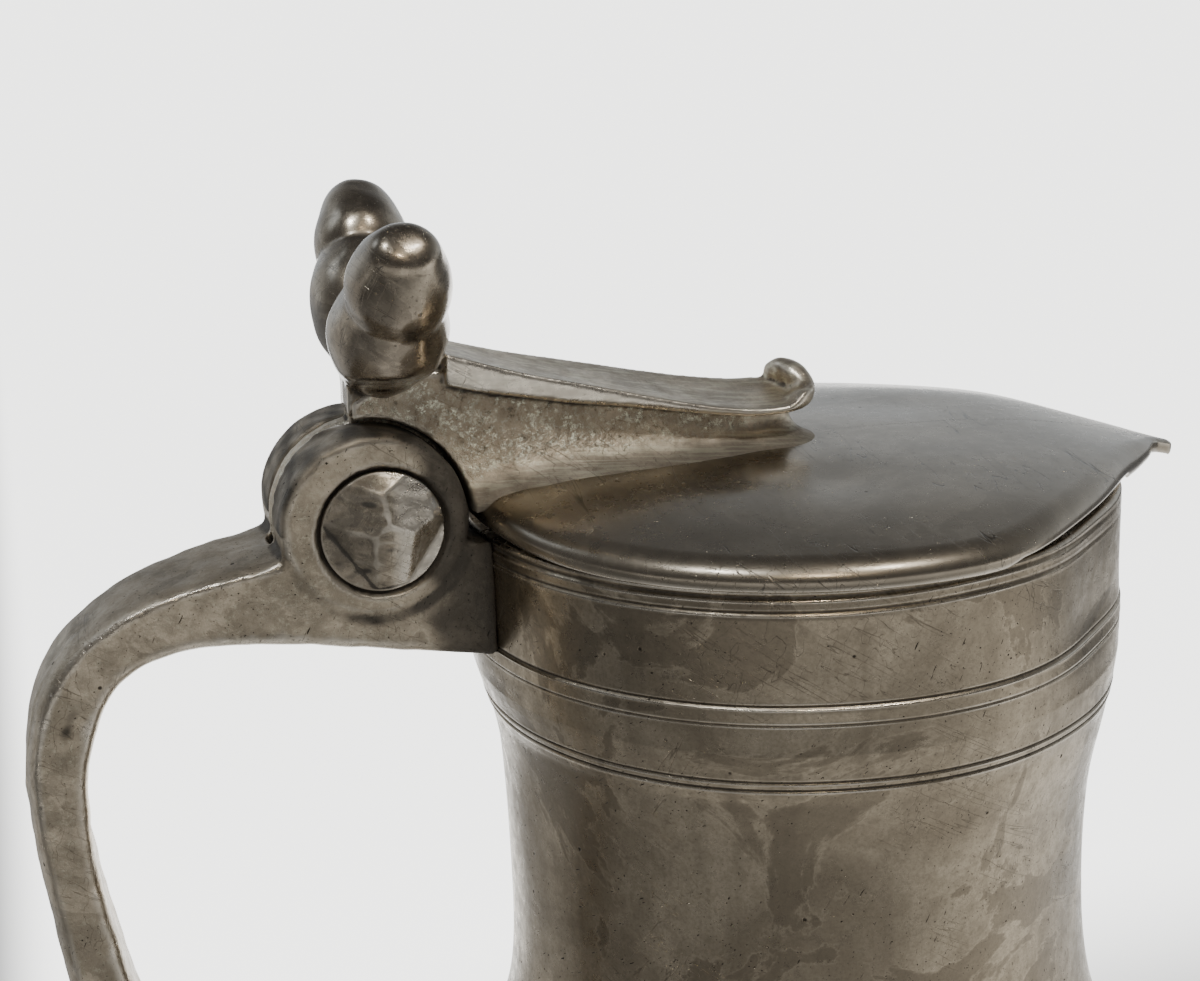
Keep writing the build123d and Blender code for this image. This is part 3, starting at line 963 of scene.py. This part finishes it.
def heart_outline(count):
    """Even points round the lid's edge, anticlockwise from its tip; the right side is straighter."""
    left = np.radians(np.linspace(44, 180, 200))
    right = np.radians(np.linspace(-180, -80, 200))[1:]
    back = LID_EDGE_RADIUS * np.c_[np.cos(left), np.sin(left)]
    front = LID_EDGE_RADIUS * np.c_[np.cos(right), np.sin(right)]
    left_side = through([(54.8, 2.6), (50.9, 7.9), (46.2, 15.2), (40.9, 23.4), back[0]], 60)[:-1]
    right_side = through([front[-1], *LID_RIGHT_SIDE], 80)
    nib = np.array(
        [(LID_TIP_X, 0), (LID_TIP_X - 0.2, 0.5), (LID_TIP_X - 0.7, 0.95), (57.4, 1.25), (56.0, 1.75)]
    )
    loop = np.vstack([nib, left_side, back, front, right_side[1:], (nib[1:] * (1, -1))[::-1]])
    chord = np.r_[0, np.cumsum(np.linalg.norm(np.diff(loop, axis=0), axis=1))]
    at = np.linspace(0, chord[-1], count, endpoint=False)
    return np.c_[np.interp(at, chord, loop[:, 0]), np.interp(at, chord, loop[:, 1])]


# Painted highlight: a small bright spot on the lid, in place of a dent's reflection.
PAINTED_HIGHLIGHT_PLACE = (-8.4, -15.7, 201.5)
LID_DENTS = (
    ((-14, -16, 201), 5, 0.35),
    ((-2, -21, 200), 7, 0.30),
    ((20, 12, 201), 8, 0.3),
    ((-25, 25, 199), 9, 0.3),
)


def lid_piece():
    """Domed heart-shaped sheet whose edge rolls down over the rim.

    Its rings run from the middle of the top outwards, round the edge and back in underneath.
    """
    count = 900
    edge = heart_outline(count)
    along = np.roll(edge, -1, 0) - np.roll(edge, 1, 0)
    along /= np.linalg.norm(along, axis=1)[:, None]
    inward = np.c_[-along[:, 1], along[:, 0]]
    radius = np.hypot(*edge.T)
    at_tip = smoothstep(45, 57, edge[:, 0])
    roll = LID_ROLL_WIDTH - 2.2 * at_tip
    fall = LID_ROLL_FALL - 1.5 * at_tip
    over_rim = 0.7 * smoothstep(LID_EDGE_RADIUS - 0.6, LID_EDGE_RADIUS - 0.1, radius)
    total = LID_LIP_REACH + over_rim - 1.2 * at_tip + shoulder_rise(*edge.T)
    shoulder = edge + inward * roll[:, None]
    rings = []
    for share in 1 - (1 - np.linspace(0.004, 1, 70)) ** 1.5:
        flat = shoulder * share
        rings.append(np.c_[flat, dome(*flat.T)])
    for angle in np.radians(np.arange(6, 91, 6)):
        flat = edge + inward * (roll * (1 - math.sin(angle)))[:, None]
        rings.append(np.c_[flat, dome(*flat.T) - fall * (1 - math.cos(angle))])
    edge_z = dome(*edge.T)
    for inset, share in ((0.0, 0.35), (0.06, 0.65), (0.22, 0.9), (0.42, 1.0), (0.62, 0.92)):
        rings.append(np.c_[edge + inward * inset, edge_z - fall - share * (total - fall)])
    for share in np.linspace(1, 0.004, 50):
        flat = (edge + inward * 0.75) * share
        thickness = LID_THICKNESS + (0.75 - 1.0 * at_tip) * smoothstep(0.86, 0.97, share)
        thickness = thickness + shoulder_rise(*flat.T)
        rings.append(np.c_[flat, dome(*flat.T) - thickness])
    points = np.vstack(rings)
    uneven = 0.10 * ripple(points * (1, 1, 0), 22, 41)
    points[:, 2] += uneven * smoothstep(46, 36, np.hypot(*points[:, :2].T))
    for centre, size, depth in LID_DENTS:
        points[:, 2] -= depth * bump_at(points, centre, size)
    piece = capped_tube("heart_lid", np.split(points, len(rings)))
    # The brightening at the highlight place is a painted highlight.
    age(piece, (0.25, 0.9), (0.05, 0.4), extra_wear_and_highlight=0.9 * bump_at(points, PAINTED_HIGHLIGHT_PLACE, 3.6))
    finish_piece(piece, LID_PEWTER, "lid", "pewter_lid", "lid_plate")


# ------------ rib and strip on the lid
STRIP_REAR_X = -48.5
STRIP_HALF_WIDTH = 6.2
STRIP_CORNER_X = -2.2
STRIP_END_REACH = 5.8
WEB_REAR_X = -60.5
WEB_FRONT_X = -3.2


def strip_middle(x):
    """Height of the strip's top along its middle, before the lip."""
    rear = [(-49, 219.4), (-44.8, 218.0), (-38.8, 216.1), (-32, 214.3), (-25.5, 212.6)]
    front = [(-19, 210.9), (-12, 209.3), (-6, 208.4), (-2, 208.3), (5, 208.6)]
    return at_x(x, rear + front)


def strip_thickness(x):
    rear = [(-49, 4.2), (-45, 4.0), (-38, 3.3), (-32, 2.9)]
    front = [(-25, 2.1), (-19, 1.6), (-12, 1.2), (5, 1.1)]
    return at_x(x, rear + front)


def web_half_width(x):
    return at_x(x, [(-61, 4.9), (-53, 5.1), (-46, 4.9), (-32, 4.4), (-15, 3.7), (0, 2.8)])


def web_top(x):
    """Height that the web reaches, inside the strip or under the acorns."""
    under_strip = strip_middle(x) - 0.6 * strip_thickness(x)
    return np.where(x < -50, at_x(x, [(-61, 213.2), (-56, 216.5), (-50, 217.0)]), under_strip)


def strip_slice(across):
    """One lengthwise slice of the strip: its top and bottom lines from the rear to the end."""
    y = STRIP_HALF_WIDTH * across
    end_x = STRIP_CORNER_X + STRIP_END_REACH * math.sqrt(max(0, 1 - across**2))
    x = np.linspace(STRIP_REAR_X, end_x, 240)
    twist = at_x(x, [(-49, 0.0), (-45, 0.1), (-35, 0.35), (-25, 0.6), (-16, 0.8), (-6, 0.9), (5, 0.5)])
    middle = strip_middle(x) + twist * across
    forward = np.clip((x - STRIP_CORNER_X) / STRIP_END_REACH, 0, None)
    from_end = STRIP_END_REACH * (1 - np.hypot(forward, across))
    turn = np.degrees(np.arctan2(forward, abs(across)))
    curl = smoothstep(2, 34, turn)
    lip = 1.3 * smoothstep(4.2, 1.4, from_end) * curl
    hollow = 1 - smoothstep(0.30, 0.95, abs(across))
    dish = 0.18 * hollow * smoothstep(-47, -40, x) * smoothstep(0.0, 2.0, from_end)
    top = middle + lip - dish
    bottom = middle - strip_thickness(x) + 0.9 * smoothstep(2.5, 0.0, from_end) * curl
    return np.c_[x, np.full(len(x), y), top], np.c_[x, np.full(len(x), y), bottom]


def strip_shell():
    """The strip: a twisted bar, dished on top, with a raised lip round its end."""
    rings = []
    for across in np.sin(np.linspace(-math.pi / 2, math.pi / 2, 71)):
        top, bottom = strip_slice(across)
        rings.append(np.vstack([top, bottom[::-1]]))
    middle = 0.5 * (rings[0] + rings[0][::-1])
    first = [middle + (rings[0] - middle) * share for share in (0.0, 0.3, 0.65)]
    middle = 0.5 * (rings[-1] + rings[-1][::-1])
    last = [middle + (rings[-1] - middle) * share for share in (0.65, 0.3, 0.0)]
    return capped_tube("strip", first + rings + last)


def strip_lip():
    """Roll of metal round the strip's end, thick on its far side and thin on the near side."""
    rings = []
    around = np.linspace(0, 2 * math.pi, 24, endpoint=False)
    for a in np.linspace(82, -78, 70):
        radius = 0.7 + 1.15 * smoothstep(-65, 15, a) * smoothstep(105, 50, a)
        across = math.sin(math.radians(a))
        x = STRIP_CORNER_X + (STRIP_END_REACH - radius) * math.cos(math.radians(a))
        y = (STRIP_HALF_WIDTH - radius) * across
        z = strip_middle(x) + 0.8 * across + radius - 1.0 + 0.45 * smoothstep(-20, 30, a)
        out = radius * np.cos(around)
        ring_x = x + out * math.cos(math.radians(a))
        rings.append(np.c_[ring_x, y + out * across, z + radius * np.sin(around)])
    return capped_tube("lip", rings)


def web_shell():
    """The rib's hollow-sided web, flaring out on to the lid all round its front."""
    side_x = np.linspace(WEB_REAR_X, WEB_FRONT_X, 240)
    side = np.c_[side_x, web_half_width(side_x)]
    front_radius = side[-1, 1]
    turn = np.linspace(math.pi / 2, -math.pi / 2, 60)[1:-1]
    front = np.c_[WEB_FRONT_X + front_radius * np.cos(turn), front_radius * np.sin(turn)]
    core = np.vstack([side, front, (side * (1, -1))[::-1]])
    out = np.vstack([
        np.tile((0.0, 1.0), (len(side), 1)),
        np.c_[np.cos(turn), np.sin(turn)],
        np.tile((0.0, -1.0), (len(side), 1)),
    ])
    reach = [(-61, 4.5), (-54, 5.0), (-47, 5.4), (-32, 5.4), (-15, 5.2), (-4, 4.4), (0, 4.4)]
    flare = at_x(core[:, 0], reach)
    top_z = web_top(core[:, 0])
    foot_z = dome(*core.T)
    rings = [np.c_[core + out * flare[:, None], dome(*(core + out * flare[:, None]).T) - 1.2]]
    for share in np.linspace(0, 1, 70):
        flat = core + out * (flare * (1 - share) ** 4)[:, None]
        rings.append(np.c_[flat, dome(*flat.T) - 0.25 + share * (top_z - foot_z + 0.25)])
    return capped_tube("web", rings)


def about_hinge(name, outline, segments=160):
    """Closed ring turned round the hinge axis from (distance, y) pairs."""
    outline = np.array(outline, float)
    angles = np.linspace(0, 2 * math.pi, segments, endpoint=False)
    rings = []
    for a in angles:
        distance, y = outline.T
        rings.append(np.c_[HINGE[0] + distance * math.cos(a), y, HINGE[2] + distance * math.sin(a)])
    return outward(make_object(name, np.vstack(rings), ring_faces(len(rings), len(outline))))


def saddle_cutter(side):
    """Round space for one ear, beside the knuckle."""
    near, far = side * KNUCKLE_HALF_WIDTH, side * 24
    section = [(0.01, near), (SADDLE_RADIUS, near), (SADDLE_RADIUS, far), (0.01, far)]
    return about_hinge("saddle", section)


def knuckle():
    """The lid's part of the hinge, bored for the pin."""
    half = KNUCKLE_HALF_WIDTH
    outside = [(EAR_RADIUS - 0.3, -half), (EAR_RADIUS, 0), (EAR_RADIUS - 0.3, half)]
    return about_hinge("knuckle", [(PIN_HOLE_RADIUS, -half), *outside, (PIN_HOLE_RADIUS, half)])


def rib_piece():
    """Hollow-sided rib with the strip on top and the hinge knuckle behind."""
    web = web_shell()
    cut_away(web, saddle_cutter(-1))
    cut_away(web, saddle_cutter(1))
    piece = remeshed(joined("rib_and_strip", [web, strip_shell(), strip_lip(), knuckle()]), 0.30, 8)
    points = points_of(piece)
    round_off(piece, points, 14, bump_at(points, (0.8, 0.0, 209.5), 7))
    normals = normals_of(piece)
    above = points[:, 2] - dome(*points[:, :2].T)
    under_strip = smoothstep(0.3, 1.2, web_top(points[:, 0]) - points[:, 2])
    below = strip_middle(points[:, 0]) - strip_thickness(points[:, 0]) - points[:, 2]
    under_strip *= 1 - smoothstep(5.0, 5.6, np.abs(points[:, 1])) * smoothstep(1.9, 1.3, below)
    cast = smoothstep(1.0, 3.6, above) * under_strip * smoothstep(-1.0, -12.0, points[:, 0])
    swell = 0.03 * ripple(points, 1.3, 51) * cast + 0.10 * ripple(points, 7, 52) * under_strip
    strip_side = (1 - under_strip) * smoothstep(0.9, 0.3, np.abs(normals[:, 2]))
    swell += 0.05 * ripple(points, 3.0, 53) * strip_side
    points += normals * swell[:, None]
    move_points(piece, points)
    shade = smoothstep(1.0, 0.0, web_top(points[:, 0]) - points[:, 2]) * under_strip
    brightening = 0.85 * strip_side * smoothstep(-2, -5, points[:, 1]) * smoothstep(-10, -26, points[:, 0])
    foot_shade = smoothstep(3.2, 0.6, above)
    # Painted shade under the strip and round the foot of the web on the lid.
    darkening = 0.20 * shade + 0.72 * foot_shade
    age(piece, (0.08, 0.35), (0.22, 0.7), extra_dirt_and_shade=darkening, extra_wear_and_highlight=brightening, polish=1 - cast)
    finish_piece(piece, RIB_PEWTER, "lid", "pewter_rib", "lid_rib")


# Where a nut meets its cup, on the near and the far acorn
NEAR_WAIST = (-55.6, -11.6, 223.8)
FAR_WAIST = (-55.6, 11.6, 223.8)


def acorns_piece():
    """The two acorns; the waist of the near one is worn nearly smooth."""
    piece = softened("twin_acorns", "thumbpiece", 0.34, 8)
    points = points_of(piece)
    share = 1.3 * bump_at(points, NEAR_WAIST, 8) + 0.4 * bump_at(points, FAR_WAIST, 6)
    round_off(piece, points, 160, share)
    points[:, 1] *= 1 - 0.35 * smoothstep(219, 215.5, points[:, 2])
    move_points(piece, points)
    normals = normals_of(piece)
    points += normals * (0.22 * ripple(points, 11, 61) + 0.08 * ripple(points, 4, 62))[:, None]
    move_points(piece, points)
    far_cup = smoothstep(2, 6, points[:, 1]) * smoothstep(226, 223, points[:, 2])
    age(piece, (0.24, 0.6), (0.06, 0.42), extra_dirt_and_shade=0.7 * far_cup, polish=1.0)
    finish_piece(piece, ACORN_PEWTER, "lid", "pewter_lid", "thumbpiece")


# ------------ stage, light and camera
FLOOR_TONE = (0.66, 0.665, 0.67, 1)
GLOW_TONE = (0.99, 0.99, 0.97, 1)
# How brightly the floor glows on each side of the tankard
RIGHT_GLOW = 0.95
BACK_GLOW = 3.2
FRONT_GLOW = 0.9
LEFT_GLOW = 0.5


def stage():
    """Pale floor that glows, most of all behind the tankard; the metal mirrors the glow."""
    size = 8.0
    mesh = bpy.data.meshes.new("floor")
    corners = [(-size, -size, 0), (size, -size, 0), (size, size, 0), (-size, size, 0)]
    mesh.from_pydata(corners, [], [(0, 1, 2, 3)])
    floor = new_object("floor", mesh)
    material = bpy.data.materials.new("pale_floor")
    material.use_nodes = True
    n = Nodes(material)
    split = n.add("ShaderNodeSeparateXYZ", Vector=n.where)
    x, y = split.outputs["X"], split.outputs["Y"]
    from_back = n.maths("ADD", n.times(x, 0.6), n.times(y, 0.8))
    out_right = n.times(n.ramp(x, 0.46, 0.58), n.ramp(y, -0.16, -0.02))
    right = n.times(n.ramp(x, -0.15, -0.11), n.ramp(out_right, 1.0, 0.0))
    right = n.times(right, n.ramp(from_back, -0.30, 0.15))
    in_view = n.ramp(n.maths("SUBTRACT", x, n.times(y, 0.62)), 0.22, 0.12)
    back = n.times(n.times(n.ramp(x, -0.13, -0.105), in_view), n.ramp(y, 0.10, 0.24))
    left = n.times(n.ramp(x, -0.20, -0.26), n.ramp(y, 0.12, 0.22))
    front = n.ramp(y, -0.42, -0.66)
    light = n.either(n.times(right, RIGHT_GLOW), n.times(back, BACK_GLOW))
    light = n.maths("ADD", light, n.times(front, FRONT_GLOW))
    light = n.maths("ADD", light, n.times(left, LEFT_GLOW))
    shader = n.tree.nodes["Principled BSDF"]
    shader.inputs["Base Color"].default_value = FLOOR_TONE
    shader.inputs["Roughness"].default_value = 0.9
    shader.inputs["Emission Color"].default_value = GLOW_TONE
    n.put(shader.inputs["Emission Strength"], light)
    mesh.materials.append(material)


def lamp(name, at, aim, size, power, colour):
    data = bpy.data.lights.new(name, "AREA")
    data.size = size
    data.spread = math.radians(40)
    data.energy = power
    data.color = colour
    light = new_object(name, data)
    light.location = at
    light.rotation_euler = (Vector(aim) - Vector(at)).to_track_quat("-Z", "Y").to_euler()


def studio_sky():
    """Dim room with a wide, pale glow low down at the back."""
    world = bpy.data.worlds.new("studio")
    world.use_nodes = True
    n = Nodes(world)
    split = n.add("ShaderNodeSeparateXYZ", Vector=n.where.node.outputs["Generated"])
    x, y, z = split.outputs
    to_back = n.maths("ADD", n.times(x, 0.35), n.times(y, 0.94))
    glow = n.times(n.ramp(to_back, -0.25, 0.60), n.ramp(z, 0.82, 0.05))
    ceiling = n.times(n.ramp(y, 0.30, -0.30), n.ramp(z, 0.35, 0.75))
    background = n.tree.nodes["Background"]
    room = n.mix(ceiling, (0.12, 0.12, 0.125), (0.22, 0.22, 0.22))
    n.put(background.inputs["Color"], n.mix(glow, room, (0.74, 0.79, 0.84)))
    background.inputs["Strength"].default_value = 1.0
    bpy.context.scene.world = world


def lights():
    studio_sky()
    middle = (0, 0, 0.17)
    lamp("lamp_left", (-0.55, -0.35, 1.5), middle, 0.10, 0.28, (0.90, 0.95, 1.0))
    lamp("lamp_right", (0.35, -0.50, 1.5), middle, 0.10, 0.25, (1.0, 0.98, 0.94))
    lamp("lamp_warm", (-0.10, -0.75, 1.1), middle, 0.05, 0.08, (1.0, 0.88, 0.70))
    lamp("lamp_cool", (-0.61, 0.36, 0.80), middle, 0.40, 0.045, (0.75, 0.86, 1.0))


def camera():
    place = (-0.1014, -0.2712, 0.2794)
    heading, pitch, roll = 15.33, -16.33, -2.2
    data = bpy.data.cameras.new("camera")
    data.sensor_width = 36.0
    data.lens = 65.2
    data.clip_start = 0.01
    piece = new_object("camera", data)
    turn = Matrix.Rotation(math.radians(-heading), 4, "Z")
    turn = turn @ Matrix.Rotation(math.radians(90 + pitch), 4, "X")
    turn = turn @ Matrix.Rotation(math.radians(roll), 4, "Z")
    piece.matrix_world = Matrix.Translation(place) @ turn
    bpy.context.scene.camera = piece


stage()
lights()
camera()
upper_body()
lower_body()
foot()
bottom_disc()
handle_piece()
plug("hinge_plug_right", "pin_plug_right", -1, PLUG_SHIFT, 3)
plug("hinge_plug_left", "pin_plug_left", 1, (0, 0), 8)
lid_piece()
rib_piece()
acorns_piece()

for material_slot in frame["nodes"]["hinge_pin"].material_slots:
    material_slot.material = HINGE_PEWTER
